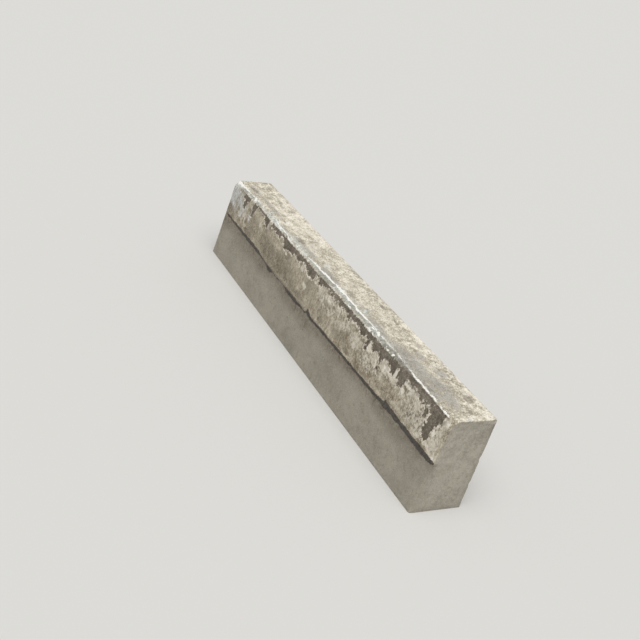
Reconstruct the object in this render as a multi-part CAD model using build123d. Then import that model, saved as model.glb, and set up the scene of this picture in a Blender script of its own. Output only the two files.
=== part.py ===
from build123d import *
import os

# A straight concrete kerb stone: one bay of a car park kerb, from joint to joint.
# X runs along the kerb, the road lies on the -Y side and the verge on the +Y side.
# The origin is the middle of the bed, so the kerb stands on Z = 0.
# All sizes are in millimetres.

# The section is 6 in wide on top, 7 in at the foot and 12 in deep, and the bay is 5 ft long.
length = 1524.0
height = 304.8
top_width = 152.4
foot_width = 177.8

# Arrises rounded with an edging trowel.
nose_radius = 32.0  # top of the road face
back_radius = 10.0  # top of the verge face
end_radius = 6.0  # round both ends, beside the joints

# The back is upright, so the road face takes the whole batter.
back_y = foot_width / 2
foot_y = -foot_width / 2
arris_y = back_y - top_width


def kerb_section():
    """Return the section across the kerb, drawn with Y to the right and Z up."""
    skin = FilletPolyline(
        (foot_y, 0),
        (arris_y, height),
        (back_y, height),
        (back_y, 0),
        radius=(nose_radius, back_radius),
    )
    bed = Line((back_y, 0), (foot_y, 0))
    return make_face(skin + bed)


def kerb_stone():
    """Return the stone: its section drawn out to the bay's length, with rounded ends."""
    across = Plane(origin=(0, 0, 0), x_dir=(0, 1, 0), z_dir=(1, 0, 0))
    stone = extrude(across * kerb_section(), amount=length / 2, both=True)
    for side in (Axis.X, -Axis.X):
        rim = stone.faces().sort_by(side)[-1].edges()
        above_the_bed = rim.sort_by(Axis.Z)[1:]
        stone = fillet(above_the_bed, end_radius)
    return stone


os.makedirs("parts", exist_ok=True)
export_step(kerb_stone(), "parts/kerb_stone.step")
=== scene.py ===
"""A weathered concrete kerb stone on a pale studio floor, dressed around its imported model.

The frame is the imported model's: X along the kerb, its front on the -Y side, Z up.
A place on the stone's skin has two coordinates in millimetres. `along` is the distance from the
end on the -X side. `reach` is the distance over the skin from the back arris: across the top,
round the nose and down the front face. Behind the back arris it is negative.
"""
import logging
import math
from dataclasses import dataclass, field
from enum import Enum
from typing import Union

import bpy
import numpy as np
from mathutils import Matrix, Vector, geometry, noise


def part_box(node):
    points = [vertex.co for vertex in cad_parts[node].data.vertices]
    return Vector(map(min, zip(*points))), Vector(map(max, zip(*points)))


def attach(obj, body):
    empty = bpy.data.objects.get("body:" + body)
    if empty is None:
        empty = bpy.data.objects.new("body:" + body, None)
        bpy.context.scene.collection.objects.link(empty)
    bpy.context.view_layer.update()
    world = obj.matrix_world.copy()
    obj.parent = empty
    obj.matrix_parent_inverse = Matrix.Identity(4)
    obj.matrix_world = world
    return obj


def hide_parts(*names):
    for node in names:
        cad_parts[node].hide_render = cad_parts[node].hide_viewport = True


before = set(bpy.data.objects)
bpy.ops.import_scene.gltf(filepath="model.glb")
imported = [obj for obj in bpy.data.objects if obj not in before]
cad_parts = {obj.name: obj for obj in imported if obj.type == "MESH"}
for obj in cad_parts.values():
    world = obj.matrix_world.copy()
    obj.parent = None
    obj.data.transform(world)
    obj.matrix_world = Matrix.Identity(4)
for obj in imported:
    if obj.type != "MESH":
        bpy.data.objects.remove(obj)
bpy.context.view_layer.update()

MM = 0.001
KERB_NODE = "kerb_stone"
FAR_OUTSIDE = -60.0  # millimetres inside a shape, for a place that is nowhere near it
END_CLEARANCE = 20.0  # millimetres that keep the lost skin and the tar off the stone's ends
INSIDE_ONLY = 1  # asks the triangulation for what lies inside the rim
WELD_GAP = 1e-5  # millimetres within which the triangulation takes two places for one

Socket = bpy.types.NodeSocket
Steps = tuple[float, float, float]  # a colour's red, green and blue, each from 0 to 255
Colour = tuple[float, float, float, float]  # a colour in linear light, with alpha
Feed = Union[Socket, float, tuple[float, ...]]  # what a node's input takes
Span = tuple[float, float]  # where a change starts, and where it is complete
Profile = tuple[tuple[float, float], ...]  # distances along the kerb, each with a value there
Patches = tuple[tuple[float, ...], ...]  # a stain's values for each patch

log = logging.getLogger("kerb")


def smooth_step(low: float, high: float, value: np.ndarray) -> np.ndarray:
    """Ease from 0 at one value to 1 at another.

    Args:
        low: The value that gives 0.
        high: The value that gives 1.
        value: The values to ease.

    Returns:
        The eased values, one for each value given.
    """
    t = np.clip((value - low) / (high - low), 0.0, 1.0)
    return t * t * (3.0 - 2.0 * t)


def cloud(points: np.ndarray, size: float, octaves: int, seed: int) -> np.ndarray:
    """Fractal noise that is smooth over a given size.

    Args:
        points: One row of x, y, z for each place, in millimetres.
        size: The distance over which the noise changes, in millimetres.
        octaves: How many layers it has, each half the size of the last.
        seed: Shifts the pattern, so that each use has its own.

    Returns:
        One value for each place, mostly between -1 and 1.
    """
    shift = Vector((13.7, 5.3, 9.1)) * seed
    places = points / size
    return np.array([noise.fractal(Vector(p) + shift, 1.0, 2.0, octaves) for p in places])


def follow(profile: Profile, along: np.ndarray) -> np.ndarray:
    """Read a profile, which runs straight from each of its points to the next.

    Args:
        profile: The profile to read.
        along: The distances along the kerb to read it at.

    Returns:
        Its value at each of them.
    """
    x, values = zip(*profile)
    return np.interp(along, x, values)


def add_object(name: str, data: bpy.types.ID) -> bpy.types.Object:
    """Put an object in the scene.

    Args:
        name: The object's name.
        data: Its mesh, lamp or camera.

    Returns:
        The object.
    """
    made = bpy.data.objects.new(name, data)
    bpy.context.scene.collection.objects.link(made)
    return made


@dataclass(frozen=True)
class Ripple:
    """Unevenness of one size, in millimetres, from broad waves to grit."""

    height: float
    size: float
    octaves: int
    seed: int

    def at(self, places: np.ndarray) -> np.ndarray:
        """How far the surface swings at each place, either way."""
        return self.height * cloud(places, self.size, self.octaves, self.seed)


class Mask(Enum):
    """The named layers that the mesh carries for its finish."""

    LOSS = "loss"  # millimetres inside the places where the skin has scaled off
    CHALK = "chalk"  # scuffed, whitened mortar on the nose
    CREST_SCUFF_AND_HIGHLIGHT = "crest"  # bright line where the nose has worn to an edge: pale scuffing, with a painted highlight on the edge
    FACET = "facet"  # greenish grey flat between the crest and the brow
    RUBBED = "rubbed"  # dark mortar rubbed smooth above the brow
    TOP = "top"  # 1 on the top, 0 on the sides
    TAR = "tar"  # millimetres inside the tar line
    BURIED = "buried"  # 1 on the part that was buried
    SOIL = "soil"  # soil left on the buried part
    PALE_AND_HIGHLIGHT = "pale"  # cream, bleached patches, and a painted highlight along the back arris
    DUST = "dust"  # grey dust
    WORN = "worn"  # smooth grey patch on the top
    FLAKY = "flaky"  # rough, flaking patch on the top
    DIRT_AND_SHADE = "dirt_and_shade"  # dark stains, and painted shade low on the front face and over its far end
    HOLLOW = "hollow"  # 0 on high spots, 1 in hollows of the skin


@dataclass(frozen=True)
class Section:
    """The kerb's cross section, in millimetres."""

    height: float
    foot_width: float
    top_width: float = 152.4
    nose_radius: float = 32.0
    back_radius: float = 10.0

    @property
    def batter(self) -> float:
        """The front face's lean from upright, in radians."""
        return math.atan2(self.foot_width - self.top_width, self.height)

    @property
    def nose_turn(self) -> float:
        """The angle that the nose turns through, in radians."""
        return math.pi / 2 - self.batter

    @property
    def nose_setback(self) -> float:
        """How far the nose starts from the corner that it rounds."""
        return self.nose_radius * math.tan(self.nose_turn / 2)

    @property
    def nose_start(self) -> float:
        """The reach where the top turns into the nose."""
        return self.top_width - self.nose_setback

    @property
    def nose_end(self) -> float:
        """The reach where the nose turns into the front face."""
        return self.nose_start + self.nose_radius * self.nose_turn

    @property
    def foot(self) -> float:
        """The reach of the front face's lower edge."""
        slope = math.hypot(self.foot_width - self.top_width, self.height)
        return self.nose_end + slope - self.nose_setback

    @property
    def back_end(self) -> float:
        """The reach where the back arris turns into the back face."""
        return self.back_radius * (1 - math.pi / 2)

    @property
    def heel(self) -> float:
        """The reach of the back face's lower edge."""
        return self.back_end - (self.height - self.back_radius)

    def trace(self, reach: np.ndarray) -> tuple[np.ndarray, np.ndarray]:
        """Follow the skin round the section.

        Args:
            reach: How far round each place lies.

        Returns:
            The places and their outward normals, as rows of y and z.
        """
        nose = np.clip(reach - self.nose_start, 0, self.nose_end - self.nose_start) / self.nose_radius
        face = np.clip(reach - self.nose_end, 0, self.foot - self.nose_end)
        top = np.clip(reach - self.back_radius, 0, self.nose_start - self.back_radius)
        back = np.clip(self.back_radius - reach, 0, self.back_radius * math.pi / 2) / self.back_radius
        behind = np.clip(self.back_end - reach, 0, self.height - self.back_radius)
        bed = np.clip(reach - self.foot, 0, None) - np.clip(self.heel - reach, 0, None)

        y = self.foot_width / 2 - self.back_radius - top + bed
        y += self.back_radius * np.sin(back) - self.nose_radius * np.sin(nose)
        y -= face * math.sin(self.batter)
        z = self.height - behind - face * math.cos(self.batter)
        z -= self.back_radius * (1 - np.cos(back)) + self.nose_radius * (1 - np.cos(nose))

        lean = math.pi / 2 + nose - back
        normal = np.column_stack([np.cos(lean), np.sin(lean)])
        normal[np.abs(bed) > 0] = (0.0, -1.0)
        return np.column_stack([y, np.maximum(z, 0.0)]), normal


@dataclass(frozen=True)
class Skin:
    """Places on the stone's skin, one of each value for each place."""

    along: np.ndarray
    reach: np.ndarray
    places: np.ndarray
    on_end: np.ndarray
    from_rim: np.ndarray

    def drawn_out(self, along: float, reach: float) -> np.ndarray:
        """The skin unrolled flat, with each direction shrunk so that noise on it is drawn out.

        Args:
            along: The factor on distances along.
            reach: The factor on distances over the skin.

        Returns:
            One row of x, y, z for each place.
        """
        return np.column_stack([self.along * along, self.reach * reach, 60.0 * self.on_end])


@dataclass(frozen=True)
class ScaledBand:
    """The band under the nose where the skin has scaled off and shows darker mortar.

    Each patch is a box of lost skin: its left and right ends, and its upper and lower edges.
    Its lower edge is torn into fingers that point down the face.
    """

    depth: float = 2.4
    shoulder: float = 1.6
    curl: float = 0.5
    curl_width: float = 9.0
    curl_top: float = 2.0
    mortar_depth: float = 0.35
    mortar_edge: Span = (0.0, 2.0)
    brow: float = 153.0  # above it the edge is cut nearly straight
    brow_fade: float = 10.0
    tear_along: Ripple = Ripple(3.6, 10.0, 3, seed=3)
    tear_down: Ripple = Ripple(3.6, 10.0, 3, seed=4)
    fingers: Ripple = Ripple(8.0, 7.0, 2, seed=11)
    fingers_drawn_out: float = 0.28
    nicks: Ripple = Ripple(1.6, 9.0, 2, seed=14)
    nicks_drawn_out: float = 0.5
    mortar: Ripple = Ripple(1.0, 6.0, 2, seed=12)
    patches: tuple[tuple[float, float, float, float], ...] = (
        (101, 151, 154, 170), (114, 136, 168, 187), (118, 133, 184, 202), (184, 213, 153, 180),
        (190, 206, 174, 204), (212, 292, 150, 158), (290, 330, 152, 168), (305, 326, 164, 183),
        (348, 398, 152, 165), (394, 432, 152, 173), (430, 470, 152, 161), (464, 500, 153, 178),
        (474, 498, 172, 188), (496, 545, 153, 178), (543, 572, 152, 172), (570, 604, 152, 174),
        (600, 647, 152, 165), (645, 668, 153, 173), (663, 711, 153, 183), (710, 742, 154, 157),
        (740, 776, 152, 168), (747, 768, 163, 178), (774, 802, 152, 165), (800, 846, 152, 160),
        (826, 841, 154, 172), (845, 950, 152, 166), (882, 899, 160, 176), (930, 1035, 152, 168),
        (944, 962, 164, 178), (1030, 1062, 153, 179), (1060, 1108, 153, 172), (1076, 1090, 170, 206),
        (1106, 1146, 153, 180), (1112, 1126, 178, 190), (1148, 1176, 153, 187), (1158, 1169, 184, 199),
        (1174, 1207, 153, 173), (1205, 1243, 151, 179), (1222, 1241, 176, 191), (1240, 1298, 150, 162),
        (1256, 1297, 160, 188), (1270, 1291, 185, 202), (1296, 1366, 149, 164), (1362, 1412, 149, 167),
        (1374, 1386, 165, 178), (1393, 1400, 165, 177), (1405, 1430, 149, 167), (1410, 1426, 175, 203),
        (1428, 1489, 151, 180), (1435, 1475, 178, 194), (1434, 1467, 192, 214), (1430, 1463, 211, 234),
        (1435, 1463, 231, 250), (1159, 1171, 212, 223),
    )

    def inside(self, skin: Skin) -> np.ndarray:
        """Measure how far inside the lost skin each place is.

        Args:
            skin: The places to measure.

        Returns:
            Millimetres inside the nearest edge, negative outside.
        """
        below_brow = smooth_step(self.brow, self.brow + self.brow_fade, skin.reach)
        fingers = self.fingers.at(skin.drawn_out(1.0, self.fingers_drawn_out))
        nicks = self.nicks.at(skin.drawn_out(self.nicks_drawn_out, 0.0))
        x = skin.along + self.tear_along.at(skin.places)
        u = skin.reach + self.tear_down.at(skin.places) * below_brow
        u += fingers * below_brow + nicks * (1 - below_brow)
        best = np.full(x.shape, FAR_OUTSIDE)
        for left, right, upper, lower in self.patches:
            off_x = np.abs(x - (left + right) / 2) - (right - left) / 2
            off_u = np.abs(u - (upper + lower) / 2) - (lower - upper) / 2
            outside = np.hypot(np.maximum(off_x, 0), np.maximum(off_u, 0))
            within = np.minimum(np.maximum(off_x, off_u), 0)
            best = np.maximum(best, -(outside + within))
        return best - END_CLEARANCE * skin.on_end

    def relief(self, inside: np.ndarray) -> np.ndarray:
        """Sink the lost skin, with its torn edge curled up.

        Args:
            inside: Millimetres inside the lost skin.

        Returns:
            The depth at each place.
        """
        lost = self.depth * smooth_step(-self.shoulder, self.shoulder, inside)
        rising = smooth_step(-self.curl_width, -self.curl_top, inside)
        return lost - self.curl * rising * (1 - smooth_step(-self.curl_top, 0, inside))

    def coarseness(self, skin: Skin, inside: np.ndarray) -> np.ndarray:
        """How far the bared mortar swings in and out at places so far inside the lost skin."""
        swing = np.clip(self.mortar.at(skin.places), -1, 1)
        return self.mortar_depth * swing * smooth_step(*self.mortar_edge, inside)


@dataclass(frozen=True)
class NoseScuff:
    """The worn nose: a chalky band with a bright crest, and a flat between crest and brow."""

    crest_line: Profile = (  # the crest's reach
        (0, 140), (40, 142), (80, 140), (120, 137), (160, 138), (200, 136), (240, 139),
        (280, 136), (350, 137), (380, 141), (420, 139), (460, 142), (485, 149), (500, 148),
        (530, 143), (565, 144), (600, 140), (650, 137), (690, 135), (790, 134), (825, 129),
        (870, 131), (905, 133), (940, 130), (962, 136), (1000, 133), (1035, 131), (1065, 135),
        (1110, 135), (1180, 134), (1230, 136), (1280, 139), (1320, 142), (1375, 143), (1410, 143),
        (1440, 146), (1500, 147), (1524, 150),
    )
    chalky: Profile = (  # how chalky the nose is
        (0, 1.0), (45, 0.9), (65, 0.4), (145, 0.4), (165, 0.9), (200, 0.65), (300, 0.65),
        (335, 1.0), (470, 1.0), (515, 0.55), (560, 0.7), (620, 0.7), (670, 0.4), (700, 0.15),
        (790, 0.15), (815, 0.5), (850, 0.5), (880, 0.5), (940, 0.4), (1010, 0.25), (1040, 0.35),
        (1090, 0.8), (1130, 0.6), (1200, 0.5), (1290, 0.4), (1310, 0.1), (1524, 0.1),
    )
    flat: Profile = (  # how plainly the flat shows
        (0, 0.2), (45, 0.3), (65, 0.8), (150, 0.8), (170, 0.3), (640, 0.3), (690, 1.0),
        (800, 1.0), (860, 0.8), (1130, 1.0), (1270, 1.0), (1310, 0.2), (1490, 0.1), (1524, 0.3),
    )
    rubbed: Profile = (  # how darkly the flat is rubbed
        (0, 0.0), (1000, 0.0), (1120, 0.35), (1200, 0.45), (1240, 0.75), (1305, 1.0), (1480, 1.0),
        (1500, 0.3), (1524, 0.0),
    )
    crisp: Profile = (  # how bright and how thick the crest is
        (0, 0.95), (60, 0.8), (90, 0.5), (150, 0.34), (180, 0.38), (210, 0.28), (330, 0.3),
        (350, 0.45), (480, 0.45), (520, 0.25), (640, 0.35), (685, 0.75), (700, 1.0), (790, 1.0),
        (805, 0.7), (870, 0.9), (1005, 0.95), (1022, 0.36), (1050, 0.36), (1065, 0.4), (1090, 0.4),
        (1105, 0.36), (1145, 0.3), (1260, 0.25), (1290, 0.35), (1306, 0.7), (1424, 0.7), (1432, 0.12),
        (1444, 0.2), (1452, 0.6), (1462, 0.3), (1470, 0.9), (1488, 0.9), (1496, 0.1), (1524, 0.1),
    )
    flat_depth: float = 1.1
    flat_starts: Span = (-2.0, 5.0)  # millimetres below the crest
    flat_ends: Span = (8.0, 18.0)
    bite_depth: float = 1.8
    bite_gap: float = 0.15  # the more, the fewer bites
    bites_fade: Span = (3.0, 13.0)  # millimetres from the crest
    bites_drawn_out: float = 0.5
    chalk_ends: Span = (1.0, 12.0)  # millimetres above the crest
    crest_edge: Span = (0.6, 1.1)  # shares of the crest's thickness
    facet_starts: Span = (0.0, 3.0)  # millimetres below the crest
    rubbing_starts: Span = (0.0, 5.0)  # millimetres below the crest
    rubbing_ends: Span = (14.0, 22.0)  # millimetres below the brow
    brow_edge: Span = (-2.0, 2.0)  # millimetres below the brow
    broken_drawn_out: float = 0.3
    least_thick: float = 0.8
    bites: Ripple = Ripple(1.0, 9.0, 3, seed=5)
    broken: Ripple = Ripple(1.0, 7.0, 3, seed=10)
    wobble: Ripple = Ripple(1.8, 24.0, 2, seed=15)

    def crest(self, along: np.ndarray) -> np.ndarray:
        """Follow the crest, which wobbles a little.

        Args:
            along: Distances along the kerb.

        Returns:
            The crest's reach at each of them.
        """
        on_line = np.column_stack([along, np.zeros_like(along), np.zeros_like(along)])
        return follow(self.crest_line, along) + self.wobble.at(on_line)

    def relief(self, skin: Skin) -> np.ndarray:
        """Wear the nose to a flat below its crest, with bites out of the crest.

        Args:
            skin: The places to wear.

        Returns:
            The depth lost at each place.
        """
        below = skin.reach - self.crest(skin.along)
        flat = smooth_step(*self.flat_starts, below) * (1 - smooth_step(*self.flat_ends, below))
        bites = self.bites.at(skin.drawn_out(self.bites_drawn_out, 1.0))
        bites = np.clip(bites - self.bite_gap, 0, 1)
        near_crest = 1 - smooth_step(*self.bites_fade, np.abs(below))
        return self.flat_depth * flat + self.bite_depth * bites * near_crest

    def layers(self, skin: Skin, brow: float, wander: np.ndarray) -> dict[Mask, np.ndarray]:
        """Work out where the nose is chalky, bright, flat and rubbed.

        Args:
            skin: The places on the skin.
            brow: The brow's reach.
            wander: The noise that frays the edges, one value for each place.

        Returns:
            One array for each layer.
        """
        above = self.crest(skin.along) - skin.reach
        broken = self.broken.at(skin.drawn_out(self.broken_drawn_out, 1.0))
        over_brow = 1 - smooth_step(*self.brow_edge, skin.reach - brow)
        chalk = (1 - smooth_step(*self.chalk_ends, above + 5 * wander)) * over_brow
        chalk *= follow(self.chalky, skin.along) * (0.8 + 0.6 * np.clip(broken + 0.2, -0.6, 0.6))
        bright = follow(self.crisp, skin.along)
        thick = np.maximum(1.5 + 1.3 * bright + 2.2 * broken, self.least_thick)
        crest = 1 - smooth_step(*self.crest_edge, np.abs(above + 1.2 * wander) / thick)
        facet = smooth_step(*self.facet_starts, -above) * over_brow * follow(self.flat, skin.along)
        rubbed = smooth_step(*self.rubbing_starts, 2 * wander - above)
        rubbed *= follow(self.rubbed, skin.along)
        rubbed *= 1 - smooth_step(*self.rubbing_ends, skin.reach - brow)
        return {Mask.CHALK: chalk, Mask.CREST_SCUFF_AND_HIGHLIGHT: crest * bright, Mask.FACET: facet, Mask.RUBBED: rubbed}


@dataclass(frozen=True)
class Stain:
    """A soft patch on the skin: its middle, its half sizes and its strength."""

    along: float
    reach: float
    half_length: float
    half_width: float
    strength: float = 1.0
    edge: Span = (0.3, 1.4)  # shares of the half sizes

    def spread(self, along: np.ndarray, reach: np.ndarray) -> np.ndarray:
        """The patch's strength at each place."""
        far = np.hypot((along - self.along) / self.half_length, (reach - self.reach) / self.half_width)
        return self.strength * (1 - smooth_step(*self.edge, far))


@dataclass(frozen=True)
class TarLine:
    """The black line of tar along the front face, where the buried part starts.

    Each stretch gives a distance along, and the line's upper and lower edges there.
    """

    proud: float = 1.2
    most_proud: float = 2.0
    least_lump: float = 0.6
    lump_swing: float = 0.8
    edge: Span = (0.0, 4.0)
    farthest: float = 30.0  # distances from the line aren't told apart beyond this
    drawn_out: float = 0.6
    wander: Ripple = Ripple(2.6, 14.0, 4, seed=8)
    lumps: Ripple = Ripple(1.0, 11.0, 2, seed=13)
    stretches: tuple[tuple[float, float, float], ...] = (
        (0, 274, 276), (30, 273, 281), (110, 272, 282), (240, 272, 286), (330, 274, 285),
        (365, 280, 286), (410, 286, 290), (425, 284, 300), (448, 284, 300), (460, 287, 291),
        (560, 286, 290), (600, 285, 298), (680, 285, 297), (715, 288, 292), (736, 286, 292),
        (740, 270, 286), (750, 272, 290), (772, 284, 295), (830, 281, 291), (1000, 279, 289),
        (1100, 278, 288), (1190, 277, 288), (1252, 272, 287), (1258, 262, 289), (1264, 267, 288),
        (1290, 269, 286), (1345, 271, 286), (1400, 273, 289), (1450, 273, 291), (1500, 274, 291),
        (1524, 279, 285),
    )

    def inside(self, skin: Skin) -> np.ndarray:
        """Millimetres inside the tar line, negative outside.

        Args:
            skin: The places to measure.

        Returns:
            The distance inside the nearer edge.
        """
        x, upper, lower = zip(*self.stretches)
        wander = self.wander.at(skin.drawn_out(self.drawn_out, 1.0))
        above = skin.reach + wander - np.interp(skin.along, x, upper)
        below = np.interp(skin.along, x, lower) - skin.reach - wander
        nearer = np.clip(np.minimum(above, below), -self.farthest, self.farthest)
        return nearer - END_CLEARANCE * skin.on_end

    def rise(self, skin: Skin, inside: np.ndarray) -> np.ndarray:
        """How far the lumpy tar stands proud at places so far inside its line."""
        lump = self.least_lump + self.lump_swing * np.clip(self.lumps.at(skin.places), 0, 1)
        return self.proud * lump * smooth_step(*self.edge, inside)


@dataclass(frozen=True)
class BugHoles:
    """Small round holes that air bubbles left in the cast skin."""

    spacing: float = 30.0
    radius: float = 4.2
    depth: float = 1.5
    least_size: float = 0.5  # the smallest hole's share of the radius
    fullness: float = 0.45  # the share of the places in the lattice that hold a hole
    size_seed: float = 7.3
    fill_seed: float = 3.1

    def relief(self, places: np.ndarray) -> np.ndarray:
        """Sink the holes.

        Args:
            places: One row of x, y, z for each place.

        Returns:
            The depth at each place.
        """
        depth = np.zeros(len(places))
        for index, place in enumerate(places / self.spacing):
            far, centres = noise.voronoi(Vector(place))
            size = self.least_size + (1 - self.least_size) * noise.cell(centres[0] * self.size_seed)
            if abs(noise.cell(centres[0] * self.fill_seed)) < self.fullness:
                depth[index] = max(0.0, 1 - (far[0] * self.spacing / (self.radius * size)) ** 2)
        return self.depth * depth


@dataclass(frozen=True)
class Pitches:
    """How far apart the mesh's vertices lie on each part of the stone, in millimetres."""

    bed: float = 22.0
    corner: float = 3.0
    back_face: float = 11.0
    back_arris: float = 2.6
    top: float = 3.6
    nose: float = 2.4
    front_face: float = 3.0
    buried: float = 8.0
    along: float = 2.65
    end: float = 5.5


@dataclass(frozen=True)
class BuriedPart:
    """The part of the stone that was buried, with the soil left on it."""

    front_start: float = 276.0  # the reach where it starts on the front face
    back_start: float = 14.0  # how far below the top it starts at the back
    starts: Span = (6.0, 16.0)  # millimetres below its start, as the next two
    soil_starts: Span = (0.0, 9.0)
    soil_thins: Span = (8.0, 75.0)
    thinned: float = 0.7  # the share of the soil that is gone where it is thin
    off_ends: Span = (4.0, 22.0)  # millimetres in from an end's rim
    off_share: float = 0.8  # the share of the soil that is gone from the ends
    fray: float = 4.0
    soil_edge: Ripple = Ripple(34.0, 210.0, 3, seed=16)

    def layers(self, skin: Skin, section: Section, wander: np.ndarray) -> dict[Mask, np.ndarray]:
        """Work out which part was buried and where soil is left on it.

        Args:
            skin: The places on the skin.
            section: The kerb's cross section.
            wander: The noise that frays the edges, one value for each place.

        Returns:
            One array for each layer.
        """
        front = float(section.trace(np.array([self.front_start]))[0][0, 1])
        level = np.where(skin.reach < section.back_end, section.height - self.back_start, front)
        deep = level - skin.places[:, 2] + self.fray * wander
        fade = deep - self.soil_edge.at(skin.places)
        soil = smooth_step(*self.soil_starts, deep)
        soil *= 1 - self.thinned * smooth_step(*self.soil_thins, fade)
        soil *= 1 - self.off_share * smooth_step(*self.off_ends, skin.from_rim)
        return {Mask.BURIED: smooth_step(*self.starts, deep), Mask.SOIL: soil}


@dataclass
class KerbMesh:
    """The stone's skin: rings of the section from end to end, closed by meshed ends."""

    section: Section
    length: float
    stains: dict[Mask, Patches]
    end_radius: float = 6.0
    end_rings: int = 4
    pitch: Pitches = Pitches()
    corner_margin: float = 3.0  # how far to each side of a lower corner its rows go
    back_margin: float = 4.0  # how far to each side of the back arris its rows go
    nose_margin: float = 40.0  # how far below the nose its rows go
    fine_below: float = 26.0  # how far down the buried part the fine rows go
    end_gap: float = 0.55  # the least distance from an end's rim to the mesh in it, in pitches
    skin_depth: float = 0.9  # the mean depth of the skin inside the true form
    hollow_span: float = 0.8
    chip_depth: float = 4.0
    chip_gap: float = 0.2  # the more, the fewer chips
    back_chips_fade: Span = (2.0, 14.0)  # millimetres from the back arris
    end_chips_fade: Span = (3.0, 14.0)  # millimetres from an end
    bed_margin: float = 4.0  # how far up from its lower edges the skin stays on the true form
    top_past_nose: float = 14.0  # how far past the nose's start the top's finish is full
    top_past_back: float = 6.0  # how far down the back face the top's finish goes
    grime: float = 0.9
    grime_fade: Span = (2.0, 20.0)  # millimetres in from an end's rim
    fray_along: float = 8.0
    fray_reach: float = 5.0
    band: ScaledBand = ScaledBand()
    nose: NoseScuff = NoseScuff()
    tar: TarLine = TarLine()
    holes: BugHoles = BugHoles()
    buried: BuriedPart = BuriedPart()
    uneven: Ripple = Ripple(0.5, 170.0, 2, seed=1)
    coarse: Ripple = Ripple(0.30, 19.0, 2, seed=2)
    fine: Ripple = Ripple(0.22, 8.0, 2, seed=9)
    chips: Ripple = Ripple(1.0, 15.0, 3, seed=6)
    wander: Ripple = Ripple(1.0, 12.0, 3, seed=7)

    def rows(self) -> np.ndarray:
        """The reach of each row of vertices, closest together where the wear is.

        Returns:
            Reach values from the middle of the bed, round the stone, to the middle of the bed.
        """
        s = self.section
        half_bed = s.foot_width / 2
        legs = (  # where each leg ends, and its pitch
            (s.heel - self.corner_margin, self.pitch.bed),
            (s.heel + self.corner_margin, self.pitch.corner),
            (s.back_end - self.back_margin, self.pitch.back_face),
            (s.back_radius + self.back_margin, self.pitch.back_arris),
            (s.nose_start, self.pitch.top),
            (s.nose_end + self.nose_margin, self.pitch.nose),
            (self.buried.front_start + self.fine_below, self.pitch.front_face),
            (s.foot - self.corner_margin, self.pitch.buried),
            (s.foot + self.corner_margin, self.pitch.corner),
            (s.foot + half_bed, self.pitch.bed),
        )
        runs = []
        start = s.heel - half_bed
        for end, pitch in legs:
            count = max(1, round((end - start) / pitch))
            runs.append(np.linspace(start, end, count, endpoint=False))
            start = end
        return np.concatenate(runs)

    def relief(self, skin: Skin, loss: np.ndarray, tar: np.ndarray) -> tuple[np.ndarray, np.ndarray]:
        """How far the skin lies inside the true form.

        Args:
            skin: The places on the skin.
            loss: Millimetres inside the lost skin.
            tar: Millimetres inside the tar line.

        Returns:
            The depth at each place in millimetres, and how much of a hollow it lies in.
        """
        s = self.section
        rough = self.coarse.at(skin.places) + self.fine.at(skin.places)
        fine_end = self.buried.front_start + self.fine_below
        fine_mesh = (skin.reach > s.back_radius) & (skin.reach < fine_end)
        holes = self.holes.relief(skin.places) * (fine_mesh & (skin.on_end < 0.5))
        depth = self.skin_depth + self.uneven.at(skin.places) + rough + holes
        depth += self.band.relief(loss) + self.nose.relief(skin)
        depth += self.band.coarseness(skin, loss)

        chips = self.chip_depth * np.clip(self.chips.at(skin.places) - self.chip_gap, 0, 1)
        to_back = np.abs(skin.reach - (s.back_radius + s.back_end) / 2)
        depth += chips * (1 - smooth_step(*self.back_chips_fade, to_back))
        to_end = np.minimum(skin.along, self.length - skin.along) + skin.from_rim
        depth += chips * (1 - smooth_step(*self.end_chips_fade, to_end))
        depth -= self.tar.rise(skin, tar)
        on_bed = (skin.reach > s.foot - self.bed_margin) | (skin.reach < s.heel + self.bed_margin)
        depth[on_bed] = 0.0
        hollow = np.clip(0.5 + (rough + holes) / self.hollow_span, 0, 1)
        return np.maximum(depth, np.where(tar > 0, -self.tar.most_proud, 0.0)), hollow

    def masks(self, skin: Skin, loss: np.ndarray, tar: np.ndarray) -> dict[Mask, np.ndarray]:
        """Work out every layer that the finish reads, apart from the hollows.

        Args:
            skin: The places on the skin.
            loss: Millimetres inside the lost skin.
            tar: Millimetres inside the tar line.

        Returns:
            One array for each layer.
        """
        s = self.section
        stone = 1 - skin.on_end
        wander = self.wander.at(skin.places)
        on_top = 1 - smooth_step(s.nose_start + self.top_past_nose, self.band.brow, skin.reach)
        on_top *= smooth_step(s.back_end - self.top_past_back, s.back_radius, skin.reach)
        layers = {Mask.LOSS: loss, Mask.TAR: tar}
        for mask, values in self.nose.layers(skin, self.band.brow, wander).items():
            layers[mask] = values * stone
        layers[Mask.TOP] = on_top * stone
        layers.update(self.buried.layers(skin, s, wander))
        clear = 1 - layers[Mask.BURIED]
        layers[Mask.BURIED] = np.maximum(layers[Mask.BURIED], skin.on_end)

        along = skin.along + self.fray_along * wander
        reach = skin.reach + self.fray_reach * wander
        for mask, stains in self.stains.items():
            layer = layers.get(mask, np.zeros_like(loss))
            for stain in stains:
                layer = np.maximum(layer, Stain(*stain).spread(along, reach) * stone)
            layers[mask] = layer
        from_rim = skin.from_rim + self.fray_reach * wander
        grime = self.grime * (1 - smooth_step(*self.grime_fade, from_rim)) * skin.on_end
        layers[Mask.DIRT_AND_SHADE] = np.maximum(layers[Mask.DIRT_AND_SHADE], grime * clear)
        return layers

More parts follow.
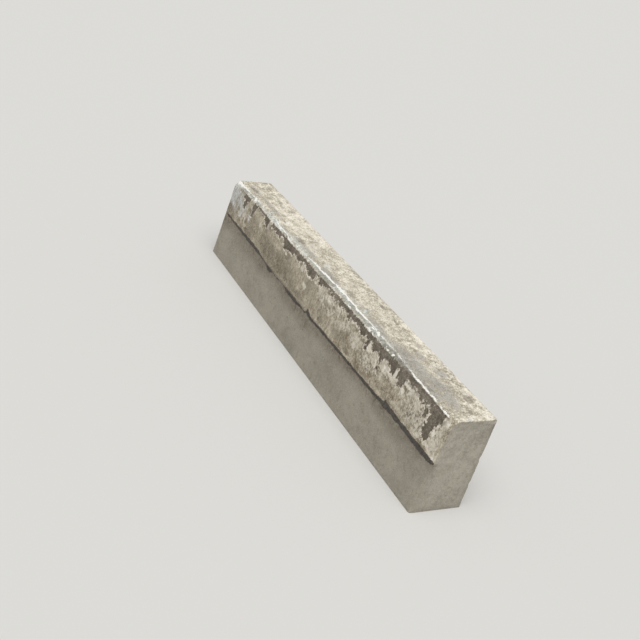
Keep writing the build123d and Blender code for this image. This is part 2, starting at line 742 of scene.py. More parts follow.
    def rings(self) -> tuple[np.ndarray, np.ndarray, np.ndarray]:
        """Set out the rings from end to end.

        Returns:
            Each ring's distance along, how far it is drawn in to round the end's arris, and how far
            its normals lean along X.
        """
        turn = np.linspace(0, math.pi / 2, self.end_rings + 1)
        rounding = self.end_radius * (1 - np.sin(turn))
        draw_in = self.end_radius * (1 - np.cos(turn))
        middle = self.length - 2 * self.end_radius
        count = round(middle / self.pitch.along)
        straight = self.end_radius + middle * np.arange(1, count) / count
        along = np.concatenate([rounding[::-1], straight, self.length - rounding])
        inset = np.concatenate([draw_in[::-1], np.zeros(count - 1), draw_in])
        lean = np.concatenate([-np.sin(turn)[::-1], np.zeros(count - 1), np.sin(turn)])
        return along, inset, lean

    def lay_out(self) -> tuple[Skin, np.ndarray, list[list[int]]]:
        """Set out the whole skin on the true form, before its relief.

        Returns:
            The places on the skin, their outward normals, and the faces between them.
        """
        reach_row = self.rows()
        along_ring, inset, lean = self.rings()
        outline, normal = self.section.trace(reach_row)
        draw = normal.copy()
        on_bed = normal[:, 1] < -0.5
        draw[on_bed, 0] = outline[on_bed, 0] / (self.section.foot_width / 2)
        draw[on_bed, 1] = 0.0

        rings, rows = len(along_ring), len(reach_row)
        along = np.repeat(along_ring, rows)
        reach = np.tile(reach_row, rings)
        profile = outline[None] - draw[None] * inset[:, None, None]
        profile[..., 1] = np.maximum(profile[..., 1], 0.0)
        places = np.column_stack([along, profile.reshape(-1, 2)])
        upright = np.sqrt(1 - lean**2)[:, None, None] * normal[None]
        outward = np.column_stack([np.repeat(lean, rows), upright.reshape(-1, 2)])
        on_end = np.zeros(rings * rows)
        from_rim = np.zeros(rings * rows)
        faces = []
        for ring in range(rings - 1):
            first = ring * rows + np.arange(rows)
            second = ring * rows + (np.arange(rows) + 1) % rows
            faces.extend(np.column_stack([first, second, second + rows, first + rows]).tolist())

        for side, ring in ((-1.0, 0), (1.0, rings - 1)):
            ring_ids = ring * rows + np.arange(rows)
            inner, triangles = self.cap(places[ring_ids][:, 1:])
            start = len(places)
            off = [np.hypot(*(outline - p).T) for p in inner]
            near = [int(np.argmin(gaps)) for gaps in off]
            from_rim = np.concatenate([from_rim, [gaps.min() for gaps in off]])
            places = np.vstack([places, np.column_stack([np.full(len(inner), along_ring[ring]), inner])])
            outward = np.vstack([outward, np.tile((side, 0.0, 0.0), (len(inner), 1))])
            on_end[ring_ids] = 1.0
            on_end = np.concatenate([on_end, np.ones(len(inner))])
            along = np.concatenate([along, np.full(len(inner), along_ring[ring])])
            reach = np.concatenate([reach, reach_row[near]])
            ids = np.concatenate([ring_ids, start + np.arange(len(inner))])
            order = (0, 1, 2) if side > 0 else (0, 2, 1)
            faces.extend(ids[triangles][:, order].tolist())
        return Skin(along, reach, places, on_end, from_rim), outward, faces

    def build(self) -> bpy.types.Object:
        """Make the mesh with its relief and layers.

        Returns:
            The kerb's object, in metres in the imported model's frame.
        """
        skin, outward, faces = self.lay_out()
        loss = self.band.inside(skin)
        tar = self.tar.inside(skin)
        depth, hollow = self.relief(skin, loss, tar)
        placed = skin.places - outward * depth[:, None]
        placed[:, 0] -= self.length / 2
        layers = self.masks(skin, loss, tar)
        layers[Mask.HOLLOW] = hollow

        mesh = bpy.data.meshes.new("kerb_skin")
        mesh.from_pydata((placed * MM).tolist(), [], faces)
        for mask, values in layers.items():
            layer = mesh.attributes.new(mask.value, "FLOAT", "POINT")
            layer.data.foreach_set("value", values.astype(np.float32))
        mesh.polygons.foreach_set("use_smooth", np.ones(len(mesh.polygons), bool))
        mesh.update()
        return add_object("weathered_kerb", mesh)

    def cap(self, rim: np.ndarray) -> tuple[np.ndarray, np.ndarray]:
        """Mesh an end face inside its rim.

        Args:
            rim: The rim's places, as rows of y and z.

        Returns:
            The places added inside the rim, and triangles that index the rim and then them.
        """
        low = rim.min(0)
        high = rim.max(0)
        pitch = self.pitch.end
        ys = np.arange(low[0], high[0], pitch)
        zs = np.arange(low[1], high[1], pitch)
        grid = np.array([(y, z) for z in zs for y in ys]) + pitch / 2
        gap = np.array([np.min(np.hypot(*(rim - p).T)) for p in grid])
        within = np.ones(len(grid), bool)
        for corner, step in zip(rim, np.roll(rim, -1, 0) - rim):
            side = step[0] * (grid[:, 1] - corner[1]) - step[1] * (grid[:, 0] - corner[0])
            within &= side > 0
        inner = grid[within & (gap > pitch * self.end_gap)]
        coords = [Vector(p) for p in np.vstack([rim, inner])]
        count = len(rim)
        edges = [(i, (i + 1) % count) for i in range(count)]
        rim_face = list(range(count))
        result = geometry.delaunay_2d_cdt(coords, edges, [rim_face], INSIDE_ONLY, WELD_GAP)
        came_from = [origin[0] for origin in result[3]]
        triangles = np.array([[came_from[i] for i in face] for face in result[2]])
        return inner, triangles


def srgb(red: float, green: float, blue: float) -> Colour:
    """Turn a colour from 0 to 255 steps into the renderer's linear light.

    Args:
        red: The red step.
        green: The green step.
        blue: The blue step.

    Returns:
        The linear colour with full alpha.
    """
    steps = (c / 255 for c in (red, green, blue))
    linear = [c / 12.92 if c <= 0.04045 else ((c + 0.055) / 1.055) ** 2.4 for c in steps]
    return (linear[0], linear[1], linear[2], 1.0)


@dataclass(frozen=True)
class Tone:
    """The dark and the pale end of the colours that a surface wanders between."""

    dark: Steps
    pale: Steps


@dataclass(frozen=True)
class Specks:
    """Small round specks scattered through the stone, up to one at each place in a loose lattice."""

    spacing: float  # from place to place, in millimetres
    size: float  # a speck's radius, as a share of the spacing
    share: float  # of the places that hold a speck
    seed: float
    cover: float  # how much of the skin's colour a speck hides
    colour: Steps


class NodeSketch:
    """A short way to write a material's or a world's nodes."""

    def __init__(self, owner: Union[bpy.types.Material, bpy.types.World]) -> None:
        """Start with an empty node tree.

        Args:
            owner: What the nodes are written for.
        """
        owner.use_nodes = True
        self.tree = owner.node_tree
        self.tree.nodes.clear()

    def node(self, kind: str, **settings: object) -> bpy.types.Node:
        """Add a node.

        Args:
            kind: The node's type, without its ShaderNode prefix.
            settings: Properties of the node, and its inputs by name with _ for each space.

        Returns:
            The new node.
        """
        made = self.tree.nodes.new("ShaderNode" + kind)
        for name, value in settings.items():
            if hasattr(made, name):
                setattr(made, name, value)
            else:
                self.feed(made.inputs[name.replace("_", " ")], value)
        return made

    def feed(self, socket: Socket, value: Feed) -> None:
        """Link a socket to another, or set it to a constant.

        Args:
            socket: The input to feed.
            value: What it takes.
        """
        if isinstance(value, Socket):
            self.tree.links.new(value, socket)
        else:
            socket.default_value = value

    def fill(self, made: bpy.types.Node, *values: Feed) -> Socket:
        """Feed a node's inputs in order.

        Args:
            made: The node to feed.
            values: What its first inputs take.

        Returns:
            Its first output.
        """
        for socket, value in zip(made.inputs, values):
            self.feed(socket, value)
        return made.outputs[0]

    def math(self, operation: str, *values: Feed) -> Socket:
        """One arithmetic step on the values that it takes, in order."""
        return self.fill(self.node("Math", operation=operation), *values)

    def total(self, *shares: tuple[float, Socket]) -> Socket:
        """Add up sockets.

        Args:
            shares: Pairs of a factor and the socket that it multiplies.

        Returns:
            The sum's socket.
        """
        factor, socket = shares[0]
        result = self.math("MULTIPLY", socket, factor)
        for factor, socket in shares[1:]:
            result = self.math("MULTIPLY_ADD", socket, factor, result)
        return result

    def band(self, value: Feed, low: float, high: float, to_low: float = 0.0,
             to_high: float = 1.0) -> Socket:
        """Map a range of values smoothly onto another.

        Args:
            value: The value or socket to map.
            low: Where the range starts.
            high: Where it ends.
            to_low: What the start maps to.
            to_high: What the end maps to.

        Returns:
            The mapped value's socket.
        """
        made = self.node("MapRange", interpolation_type="SMOOTHSTEP")
        return self.fill(made, value, low, high, to_low, to_high)

    def mix(self, factor: Feed, first: Feed, second: Feed, blend: str = "MIX") -> Socket:
        """Mix two colours.

        Args:
            factor: How much of the second colour shows.
            first: The first colour or socket.
            second: The second colour or socket.
            blend: The way they are blended.

        Returns:
            The mixed colour's socket.
        """
        made = self.node("Mix", data_type="RGBA", blend_type=blend)
        for index, value in ((0, factor), (6, first), (7, second)):
            self.feed(made.inputs[index], value)
        return made.outputs[2]

    def cover(self, skin: Feed, shown: Feed, share: float, colour: Feed) -> Socket:
        """Lay a colour over the skin.

        Args:
            skin: The colour so far.
            shown: Where the new colour shows.
            share: How much of it shows there at most.
            colour: The new colour.

        Returns:
            The colour's socket.
        """
        return self.mix(self.math("MULTIPLY", shown, share), skin, colour)

    def tint(self, tone: Tone, wander: Socket) -> Socket:
        """Pick a colour from a tone.

        Args:
            tone: The colours, from the dark end at -2 to the pale end at 2.
            wander: The signed noise that picks one.

        Returns:
            The colour's socket.
        """
        share = self.fill(self.node("MapRange"), wander, -2.0, 2.0, 0.0, 1.0)
        return self.mix(share, srgb(*tone.dark), srgb(*tone.pale))

    def layer(self, mask: Mask) -> Socket:
        """Read one of the mesh's layers."""
        return self.node("Attribute", attribute_name=mask.value).outputs["Fac"]

    def patch(self, mask: Mask, breaking: Socket, low: float = 0.25, high: float = 0.75,
              swing: float = 0.45) -> Socket:
        """Show a layer with its edge broken up.

        Args:
            mask: The layer to show.
            breaking: The signed noise that breaks its edge.
            low: The layer's value where it starts to show.
            high: The value from which it shows in full.
            swing: How strongly the noise breaks it.

        Returns:
            How much of the layer shows.
        """
        factor = self.math("MULTIPLY_ADD", breaking, swing, 1.0)
        return self.band(self.math("MULTIPLY", self.layer(mask), factor), low, high)

    def texture(self, kind: str, size: float, seed: float, upright: float = 1.0,
                **settings: float) -> bpy.types.Node:
        """Add a texture that is fixed to the stone.

        Args:
            kind: The node's type, without its ShaderNode prefix.
            size: The distance over which it changes, in millimetres.
            seed: Shifts the pattern.
            upright: A factor on its scale along Z, where less than 1 draws it out.
            settings: The node's other inputs, by name.

        Returns:
            The texture's node.
        """
        place = self.node("Mapping", Vector=self.node("TexCoord").outputs["Object"],
                          Scale=(1.0, 1.0, upright), Location=(seed, seed * 0.7, seed * 1.3))
        return self.node(kind, Vector=place.outputs[0], Scale=1 / (size * MM), **settings)

    def wander(self, size: float, seed: float, detail: float = 2.0, upright: float = 1.0) -> Socket:
        """Noise about 0 with a spread of about 1.

        Args:
            size: The distance over which it changes, in millimetres.
            seed: Shifts the pattern.
            detail: How many finer layers it has.
            upright: A factor on its scale along Z, where less than 1 draws it out.

        Returns:
            The noise's socket.
        """
        made = self.texture("TexNoise", size, seed, upright, Detail=detail, Roughness=0.6)
        return self.math("MULTIPLY_ADD", made.outputs["Fac"], 8.0, -4.0)

    def specks(self, kind: Specks) -> Socket:
        """Scatter specks.

        Args:
            kind: The specks' size, number and spread.

        Returns:
            A socket that is 1 inside each speck and 0 outside.
        """
        made = self.texture("TexVoronoi", kind.spacing, kind.seed)
        pick = self.fill(self.node("SeparateColor"), made.outputs["Color"])
        chosen = self.math("LESS_THAN", pick, kind.share)
        round_speck = self.band(made.outputs["Distance"], kind.size, kind.size * 0.6)
        return self.math("MULTIPLY", round_speck, chosen)


@dataclass
class Grain:
    """The noises that the finish shares, from broad clouds to grit."""

    n: NodeSketch
    drifting: Socket = field(init=False)
    cloudy: Socket = field(init=False)
    blotchy: Socket = field(init=False)
    mottled: Socket = field(init=False)
    gritty: Socket = field(init=False)
    runny: Socket = field(init=False)
    ragged: Socket = field(init=False)

    def __post_init__(self) -> None:
        """Write the nodes."""
        self.drifting = self.n.wander(260.0, seed=10.0)
        self.cloudy = self.n.wander(95.0, seed=1.0)
        self.blotchy = self.n.wander(30.0, seed=2.0)
        self.mottled = self.n.wander(10.0, seed=3.0)
        self.gritty = self.n.wander(2.8, seed=4.0, detail=1.0)
        self.runny = self.n.wander(6.0, seed=5.0, upright=0.24)
        self.ragged = self.n.wander(4.5, seed=6.0, detail=3.0, upright=0.45)


@dataclass(frozen=True)
class ConcreteFinish:
    """The colours and textures of sun-bleached, scuffed, grimy concrete, with some light and shade
    painted in.
    """

    top: Tone = Tone((166, 156, 136), (246, 239, 221))
    pale_top: Tone = Tone((210, 200, 179), (255, 249, 234))
    worn: Tone = Tone((141, 137, 129), (194, 189, 179))
    flaky: Tone = Tone((148, 137, 115), (255, 249, 232))
    # face and grimy colour the front face and are darker than the top's tones: partly the face's own
    # grime, partly painted shade.
    face: Tone = Tone((132, 121, 102), (213, 203, 183))
    grimy: Tone = Tone((104, 96, 80), (164, 155, 137))
    cast: Tone = Tone((150, 144, 132), (189, 183, 169))
    raw: Tone = Tone((92, 84, 73), (133, 124, 111))
    chalk: Tone = Tone((152, 154, 145), (233, 235, 228))
    bleached: Tone = Tone((198, 188, 170), (228, 223, 209))
    fresh: Tone = Tone((222, 211, 193), (255, 252, 240))
    facet: Tone = Tone((135, 134, 123), (189, 188, 177))
    rubbed: Tone = Tone((105, 97, 86), (134, 126, 113))
    # pale skin along the torn edge, with painted highlight where the edge catches the light
    torn_rim_and_highlight: Tone = Tone((204, 194, 177), (250, 244, 230))
    dust: Tone = Tone((148, 146, 142), (222, 223, 219))
    tar: Tone = Tone((46, 44, 41), (86, 81, 75))
    # painted highlight on the torn edge's curled rise, under the brow
    lip_highlight: Steps = (244, 235, 218)
    # pale scuffing on the crest, with a painted highlight
    crest: Steps = (250, 250, 243)
    soil: Steps = (117, 107, 93)
    stain: Steps = (120, 110, 97)
    hollow_darkening: Colour = (0.62, 0.58, 0.52, 1.0)  # the factor that darkens each colour where the skin lies in a hollow
    pale_sand: Specks = Specks(3.4, 0.34, 0.22, 7.0, 0.34, (240, 234, 220))
    dark_sand: Specks = Specks(3.0, 0.34, 0.20, 8.0, 0.36, (96, 88, 78))
    small_pits: Specks = Specks(13.0, 0.13, 0.35, 9.0, 0.5, (84, 77, 68))
    large_pits: Specks = Specks(37.0, 0.085, 0.5, 12.0, 0.5, (84, 77, 68))
    specular: float = 0.35
    tar_gloss: float = 0.3
    mortar_bump: tuple[float, float] = (0.8, 0.5)  # strength, and height in millimetres
    sand_bump: tuple[float, float] = (0.7, 0.25)

    def bleached_top(self, g: Grain) -> Socket:
        """The bleached top, with its worn and its flaking patches.

        Args:
            g: The shared noises.

        Returns:
            The colour's socket.
        """
        n = g.n
        signal = n.total((0.6, g.cloudy), (0.75, g.blotchy), (0.85, g.mottled), (0.9, g.ragged),
                         (1.2, g.gritty))
        top = n.tint(self.top, signal)
        breaking = n.total((0.7, g.blotchy), (0.7, g.mottled))
        top = n.mix(n.patch(Mask.PALE_AND_HIGHLIGHT, breaking, 0.05, 0.95), top, n.tint(self.pale_top, signal))
        flakes = n.total((1.0, g.blotchy), (1.1, g.mottled), (0.6, g.ragged), (0.5, g.gritty))
        top = n.mix(n.patch(Mask.FLAKY, g.blotchy, 0.15, 0.85), top, n.tint(self.flaky, flakes))
        smooth = n.total((0.4, g.cloudy), (0.5, g.blotchy), (0.6, g.mottled), (0.7, g.ragged),
                         (0.9, g.gritty))
        worn = n.patch(Mask.WORN, breaking, 0.05, 0.9, 0.55)
        return n.cover(top, worn, 0.92, n.tint(self.worn, smooth))

    def sides(self, g: Grain) -> Socket:
        """The streaked front face, its colours darkened partly by painted shade, and the plain cast skin
        of the buried part.

        Args:
            g: The shared noises.

        Returns:
            The colour's socket.
        """
        n = g.n
        broad = n.total((0.65, g.cloudy), (0.75, g.blotchy), (0.4, g.mottled))
        signal = n.total((1.0, broad), (0.5, g.runny), (0.4, g.ragged), (0.9, g.gritty))
        face = n.tint(self.face, signal)
        face = n.mix(n.patch(Mask.DIRT_AND_SHADE, g.blotchy, 0.05, 0.95), face, n.tint(self.grimy, signal))
        quiet = n.total((0.5, g.drifting), (0.5, g.cloudy), (0.5, g.blotchy), (0.4, g.mottled),
                        (0.4, g.ragged), (0.7, g.gritty))
        face = n.mix(n.layer(Mask.BURIED), face, n.tint(self.cast, quiet))
        crumbs = n.total((0.5, g.drifting), (0.5, g.blotchy), (0.6, g.mottled), (0.6, g.ragged))
        clinging = n.math("MULTIPLY_ADD", crumbs, 0.2, 0.7)
        face = n.mix(n.math("MULTIPLY", n.layer(Mask.SOIL), clinging), face, srgb(*self.soil))
        flecks = n.total((0.7, g.blotchy), (0.5, g.mottled), (0.7, g.ragged))
        sandy = n.total((0.8, g.mottled), (0.7, g.gritty))
        face = n.mix(n.patch(Mask.PALE_AND_HIGHLIGHT, flecks, 0.18, 0.66, 0.55), face, n.tint(self.bleached, sandy))
        face = n.mix(n.patch(Mask.PALE_AND_HIGHLIGHT, flecks, 0.75, 1.35, 0.25), face, n.tint(self.fresh, sandy))
        streaks = n.total((0.8, g.blotchy), (0.8, g.runny), (0.5, g.gritty))
        return n.mix(n.patch(Mask.DUST, streaks, 0.0, 1.0), face, n.tint(self.dust, streaks))

    def nose(self, g: Grain, skin: Socket) -> Socket:
        """Chalk the nose and rub its flat dark.

        Args:
            g: The shared noises.
            skin: The colour under the chalk.

        Returns:
            The colour's socket.
        """
        n = g.n
        signal = n.total((0.6, g.blotchy), (0.9, g.mottled), (0.6, g.gritty))
        for mask, tone in ((Mask.FACET, self.facet), (Mask.CHALK, self.chalk)):
            skin = n.mix(n.patch(mask, g.mottled, 0.1, 0.9), skin, n.tint(tone, signal))
        return n.mix(n.layer(Mask.RUBBED), skin, n.tint(self.rubbed, signal))

    def scaled(self, g: Grain, skin: Socket) -> Socket:
        """Bare the raw mortar inside the torn edge. The rim round it is pale, partly pale skin and
        partly painted highlight, and its curled edge under the brow takes a painted highlight.

        Args:
            g: The shared noises.
            skin: The colour of the whole skin.

        Returns:
            The colour's socket.
        """
        n = g.n
        top = n.layer(Mask.TOP)
        torn = n.total((1.0, n.layer(Mask.LOSS)), (2.0, g.ragged))
        polished = n.math("MULTIPLY", n.layer(Mask.RUBBED), n.band(top, 0.0, 0.1))
        unrubbed = n.math("SUBTRACT", n.math("SUBTRACT", 1.0, top), polished)
        # Pale rim along the torn edge: partly pale skin, partly painted highlight.
        rim = n.math("MULTIPLY", n.band(torn, -10.0, -1.5), n.math("MAXIMUM", unrubbed, 0.0))
        broken = n.band(n.total((0.7, g.blotchy), (0.8, g.mottled)), -1.2, 1.2, 0.0, 0.95)
        clean = n.band(n.layer(Mask.DIRT_AND_SHADE), 0.05, 0.8, 1.0, 0.25)
        rim = n.math("MULTIPLY", rim, n.math("MULTIPLY", broken, clean))
        skin = n.mix(rim, skin, n.tint(self.torn_rim_and_highlight, g.mottled))
        # Painted highlight on the curled rise just outside the torn edge.
        under_brow = n.band(top, 0.0, 0.05, 1.0, 0.0)
        caught_light = n.band(n.total((0.8, g.mottled), (0.7, g.gritty)), -0.6, 1.2, 0.0, 0.8)
        lip_highlight = n.math("MULTIPLY", n.band(torn, -4.8, -1.8), under_brow)
        skin = n.mix(n.math("MULTIPLY", lip_highlight, caught_light), skin, srgb(*self.lip_highlight))
        signal = n.total((0.6, g.cloudy), (0.9, g.blotchy), (0.9, g.mottled), (0.9, g.gritty))
        return n.mix(n.band(torn, -0.9, 0.7), skin, n.tint(self.raw, signal))

    def speckled(self, g: Grain, skin: Socket) -> tuple[Socket, Socket]:
        """Scatter sand and small air holes over the skin.

        Args:
            g: The shared noises.
            skin: The colour without them.

        Returns:
            The colour's socket, and that of the heights that they add.
        """
        n = g.n
        pale = n.specks(self.pale_sand)
        dark = n.specks(self.dark_sand)
        pits = n.math("MAXIMUM", n.specks(self.small_pits), n.specks(self.large_pits))
        for shown, kind in ((pale, self.pale_sand), (dark, self.dark_sand), (pits, self.small_pits)):
            skin = n.cover(skin, shown, kind.cover, srgb(*kind.colour))
        return skin, n.total((0.8, g.gritty), (1.0, n.math("ADD", pale, dark)), (-6.0, pits))

    def material(self) -> bpy.types.Material:
        """Write the material.

        Returns:
            The finished concrete.
        """
        made = bpy.data.materials.new("weathered_concrete")
        n = NodeSketch(made)
        g = Grain(n)
        skin = n.mix(n.layer(Mask.TOP), self.sides(g), self.bleached_top(g))
        skin = self.nose(g, skin)
        grime = n.math("MULTIPLY", n.patch(Mask.DIRT_AND_SHADE, g.mottled), n.layer(Mask.TOP))
        skin = self.scaled(g, n.cover(skin, grime, 0.6, srgb(*self.stain)))
        hollows = n.band(n.layer(Mask.HOLLOW), 0.55, 1.0, 0.0, 0.55)
        skin = n.mix(hollows, skin, n.mix(1.0, skin, self.hollow_darkening, "MULTIPLY"))
        skin, sand_height = self.speckled(g, skin)
        # Paint the crest's pale scuffing and its highlight over the sand.
        skin = n.mix(n.patch(Mask.CREST_SCUFF_AND_HIGHLIGHT, g.ragged, 0.12, 0.42), skin, srgb(*self.crest))

        tarry = n.band(n.total((1.0, n.layer(Mask.TAR)), (1.2, g.ragged)), -1.0, 1.4)
        dull = n.total((0.8, g.mottled), (0.8, g.ragged), (0.6, g.gritty))
        skin = n.cover(skin, tarry, 0.95, n.tint(self.tar, dull))

        rough = n.math("SUBTRACT", n.band(g.gritty, -2.0, 2.0, 0.84, 0.97),
                       n.math("MULTIPLY", tarry, self.tar_gloss))
        mortar_height = n.total((0.8, g.mottled), (0.5, g.ragged))
        strength, height = self.mortar_bump
        coarse = n.node("Bump", Strength=strength, Distance=height * MM, Height=mortar_height)
        strength, height = self.sand_bump
        fine = n.node("Bump", Strength=strength, Distance=height * MM, Height=sand_height,
                      Normal=coarse.outputs[0])
        shader = n.node("BsdfPrincipled", Base_Color=skin, Roughness=rough, Normal=fine.outputs[0],
                        Specular_IOR_Level=self.specular)
        n.node("OutputMaterial", Surface=shader.outputs[0])
        return made


@dataclass(frozen=True)
class Studio:
    """A plain pale floor under soft light, seen from the photograph's viewpoint."""

    eye: tuple[float, float, float] = (2.1942, -1.5510, 1.4646)
    aim: tuple[float, float, float] = (0.0445, -0.0590, 0.1720)
    roll_deg: float = 17.702
    lens: float = 51.3
    clip_end: float = 1000.0
    floor_size: float = 400.0
    floor_colour: Steps = (222, 221, 217)
    sky_level: float = 0.5
    sun_level: float = 2.0
    sun_from: tuple[float, float, float] = (0.35, -0.25, 1.0)
    sun_spread_deg: float = 60.0

    def camera(self) -> None:
        """Stand the camera where the photograph was taken."""
        data = bpy.data.cameras.new("camera")
        data.lens = self.lens
        data.clip_end = self.clip_end
        camera = add_object("camera", data)
        look = (Vector(self.aim) - Vector(self.eye)).to_track_quat("-Z", "Y").to_matrix().to_4x4()
        roll = Matrix.Rotation(math.radians(self.roll_deg), 4, "Z")
        camera.matrix_world = Matrix.Translation(self.eye) @ look @ roll
        bpy.context.scene.camera = camera

    def floor(self) -> None:
        """Lay the floor and paint it pale."""
        half = self.floor_size / 2
        mesh = bpy.data.meshes.new("floor")
        corners = [(-half, -half, 0), (half, -half, 0), (half, half, 0), (-half, half, 0)]
        mesh.from_pydata(corners, [], [(0, 1, 2, 3)])
        material = bpy.data.materials.new("floor_paint")
        n = NodeSketch(material)
        paint = n.node("BsdfDiffuse", Color=srgb(*self.floor_colour))
        n.node("OutputMaterial", Surface=paint.outputs[0])
        mesh.materials.append(material)
        floor = add_object("floor", mesh)

    def sky(self) -> None:
        """Hang an even sky, which shows in the floor's colour to the camera and in reflections."""
        world = bpy.data.worlds.new("pale_sky")
        n = NodeSketch(world)
        lighting = n.node("Background", Strength=self.sky_level)
        backdrop = n.node("Background", Color=srgb(*self.floor_colour))
        path = n.node("LightPath")
        shown = path.outputs["Is Camera Ray"]
        for ray in ("Is Glossy Ray", "Is Transmission Ray"):
            shown = n.math("MAXIMUM", shown, path.outputs[ray])
        seen = n.fill(n.node("MixShader"), shown, lighting.outputs[0], backdrop.outputs[0])
        n.node("OutputWorld", Surface=seen)
        bpy.context.scene.world = world

    def sun(self) -> None:
        """Light the stone with a broad soft lamp from above, a little to its front and its +X end."""
        data = bpy.data.lights.new("soft_sun", "SUN")
        data.energy = self.sun_level
        data.angle = math.radians(self.sun_spread_deg)
        lamp = add_object("soft_sun", data)
        lamp.rotation_euler = (-Vector(self.sun_from)).to_track_quat("-Z", "Y").to_euler()

    def build(self) -> None:
        """Set up the whole studio."""
        self.camera()
        self.floor()
        self.sky()
        self.sun()
        bpy.context.scene.view_settings.view_transform = "Standard"


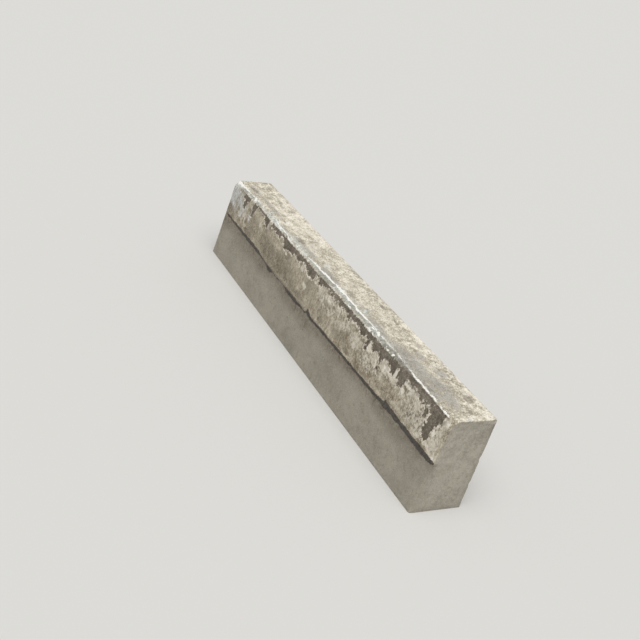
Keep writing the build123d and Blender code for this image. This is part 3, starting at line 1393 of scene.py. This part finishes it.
# Patches on the skin, by layer. Each has a middle, along and reach, then half its length and half
# its width, and the strength where that isn't 1.
STAINS: dict[Mask, Patches] = {
    Mask.PALE_AND_HIGHLIGHT: (
        (125, 228, 46, 26, 0.55), (278, 195, 10, 16, 0.6), (255, 222, 26, 18, 0.35),
        (500, 191, 14, 5, 0.7), (618, 182, 46, 15, 0.5), (676, 223, 14, 9, 0.75), (682, 188, 12, 5, 0.8),
        (730, 172, 16, 14, 0.8), (835, 184, 34, 12, 1.1), (870, 200, 165, 44, 0.4),
        (945, 184, 14, 10, 0.9), (920, 178, 40, 10, 0.7), (985, 172, 12, 6, 0.8),
        (1050, 212, 70, 44, 0.4), (1030, 228, 18, 8, 0.7), (1099, 189, 13, 20, 1.7),
        (1130, 222, 90, 42, 0.45), (1153, 214, 7, 17, 1.3), (1172, 232, 16, 8, 0.8),
        (1190, 177, 12, 12, 0.55), (1215, 200, 62, 16), (1247, 179, 12, 24, 1.7),
        (1304, 176, 12, 18, 1.5), (1320, 172, 9, 17, 1.5), (1344, 172, 10, 8, 1.0),
        (1302, 203, 18, 12, 1.5), (1370, 176, 8, 16, 0.9), (1398, 174, 6, 10, 1.1),
        (1396, 198, 20, 10, 0.9), (1427, 208, 7, 12, 1.2), (1385, 205, 190, 66, 0.42),
        (1482, 184, 11, 16, 1.3), (1474, 212, 9, 28, 1.2), (1494, 226, 24, 44, 0.75),
        (1455, 260, 60, 9, 1.0), (1508, 164, 10, 16, 1.1), (1508, 270, 14, 5, 1.1),
        (405, 40, 160, 50, 0.95), (75, 62, 18, 12), (165, 64, 20, 13, 0.9), (1065, 84, 18, 12, 0.9),
        (1486, 34, 20, 26), (780, 32, 110, 20, 0.5), (400, 90, 120, 34, 0.6), (170, 30, 60, 24, 0.5),
        # (1200, 16) and, on the next line, (1450, 14) paint a highlight along the back arris.
        (262, 78, 38, 18, 1.5), (1200, 16, 220, 11, 1.2), (692, 106, 34, 16, 0.7),
        (750, 72, 40, 20, 0.7), (1318, 190, 20, 9, 0.8), (1450, 14, 60, 9, 1.2), (1500, 30, 30, 24, 0.8),
        (1514, 82, 13, 60, 1.2), (548, 92, 20, 20, 1.4), (400, 96, 30, 14, 1.3),
    ),
    Mask.DUST: (
        (28, 194, 32, 46), (80, 204, 68, 47, 0.75), (345, 172, 20, 22, 0.35), (186, 206, 9, 30, 0.8),
    ),
    Mask.WORN: (
        (1380, 112, 105, 42), (1262, 120, 150, 34), (1070, 124, 90, 18, 0.8), (1392, 74, 48, 20, 0.55),
        (1306, 52, 36, 20, 0.6), (745, 124, 76, 17, 0.85), (560, 124, 110, 16, 0.8),
        (88, 113, 50, 20, 0.7), (1222, 70, 48, 22, 0.5), (985, 114, 60, 14, 0.7),
        (230, 108, 130, 14, 0.5),
    ),
    Mask.FLAKY: (
        (1290, 32, 150, 30, 0.9), (1434, 42, 44, 32, 0.9), (1180, 50, 60, 30, 0.8),
        (1322, 70, 44, 14, 0.9), (80, 45, 90, 40, 0.8), (215, 60, 70, 40, 0.5),
    ),
    Mask.DIRT_AND_SHADE: (
        (460, 245, 160, 40), (232, 222, 66, 48, 0.7), (350, 216, 60, 24, 0.6), (390, 234, 52, 30, 1.3),
        (1110, 238, 48, 24, 0.5), (868, 108, 34, 15, 0.8), (508, 112, 34, 16, 0.75),
        # (890, 167) and, on the next line, (1385, 168) and (1150, 178) darken the face just under the
        # brow.
        (90, 114, 34, 14, 0.75), (1405, 36, 38, 20, 0.35), (890, 167, 125, 10, 0.85),
        (1385, 168, 100, 9, 0.65), (1150, 178, 100, 9, 0.5), (46, 166, 12, 16, 0.6),
        (560, 240, 70, 44, 0.75), (650, 268, 80, 12, 0.8), (755, 252, 60, 24, 0.45),
        # (30, 262), (24, 250) and (6, 250) paint shadow over the far end of the front face.
        (945, 243, 62, 26, 0.6), (30, 262, 60, 20), (24, 250, 44, 26, 1.2), (6, 250, 26, 30, 1.2),
        (212, 262, 44, 12), (518, 196, 30, 20, 0.9), (705, 224, 16, 12, 0.6), (704, 214, 50, 46, 0.55),
        (808, 216, 42, 50, 0.6), (1374, 236, 80, 22, 1.0), (86, 156, 44, 10, 1.2),
        (252, 160, 44, 8, 0.9), (816, 165, 26, 10, 1.3), (825, 264, 20, 12), (975, 206, 18, 11, 1.2),
        (1005, 264, 22, 10), (1395, 226, 16, 10, 1.2), (122, 163, 30, 15, 1.0), (127, 188, 14, 22, 0.9),
        (198, 182, 20, 34, 0.9), (312, 164, 26, 20, 0.8), (560, 262, 60, 16, 0.9),
        # (1290, 264) and, on the next line, (1120, 270) paint shade on the face just above the tar line.
        (550, 226, 40, 14, 0.7), (178, 232, 24, 16, 0.6), (1290, 264, 60, 7, 0.9),
        (1120, 270, 70, 6, 0.7), (942, 35, 15, 9, 1.2), (1036, 40, 20, 6, 1.2), (1322, 33, 14, 5, 0.8),
        (1431, 40, 24, 14, 1.0), (1490, 73, 11, 9, 0.9), (80, 40, 44, 6, 0.7), (190, 50, 18, 8, 0.8),
        (13, 32, 14, 10, 0.8), (70, 82, 30, 10, 0.6), (205, 108, 16, 8, 0.6), (350, 108, 28, 6, 0.7),
        (267, 36, 34, 18, 0.6), (515, 66, 34, 24, 0.55), (572, 74, 34, 22, 0.4), (810, 72, 36, 20, 0.4),
        (1172, 36, 34, 18, 0.4), (1372, 134, 74, 7, 0.45), (1505, 143, 5, 4),
    ),
    Mask.CHALK: (
        (935, 122, 90, 15, 0.35), (285, 122, 20, 10, 0.5), (530, 134, 100, 12, 0.6),
        (1000, 122, 60, 10, 0.5), (548, 90, 14, 14, 0.5), (692, 101, 28, 11, 0.7),
        (404, 106, 18, 8, 0.4), (832, 117, 15, 9, 0.8), (965, 106, 9, 16, 0.9), (1062, 104, 12, 6, 0.7),
        (1235, 117, 8, 4, 0.8), (1521, 96, 6, 7), (1060, 136, 20, 8, 1.5), (1092, 137, 18, 8, 1.5),
    ),
    Mask.CREST_SCUFF_AND_HIGHLIGHT: (
        (1061, 150, 10, 5), (1064, 136, 10, 5, 0.6), (1093, 136, 12, 5, 0.6), (555, 147, 12, 4, 0.25),
        (397, 144, 20, 6, 0.4), (165, 140, 10, 6, 0.45), (24, 141, 32, 6, 1.05), (838, 130, 26, 6, 0.7),
        (1168, 147, 8, 3, 0.6), (1201, 148, 8, 3), (1085, 149, 8, 3, 0.8), (930, 148, 12, 3, 0.7),
    ),
}


def main() -> None:
    """Build the stone, dress it, and set it in the studio."""
    logging.basicConfig(level=logging.INFO, format="%(name)s: %(message)s")
    low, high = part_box(KERB_NODE)
    section = Section(height=(high.z - low.z) / MM, foot_width=(high.y - low.y) / MM)
    kerb = KerbMesh(section, length=(high.x - low.x) / MM, stains=STAINS).build()
    kerb.data.materials.append(ConcreteFinish().material())
    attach(kerb, "root")
    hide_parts(KERB_NODE)
    log.info("weathered_kerb: %d vertices, %d faces", len(kerb.data.vertices), len(kerb.data.polygons))

    Studio().build()
    log.info("studio: camera, floor, sky and sun")


if __name__ == "__main__":
    main()
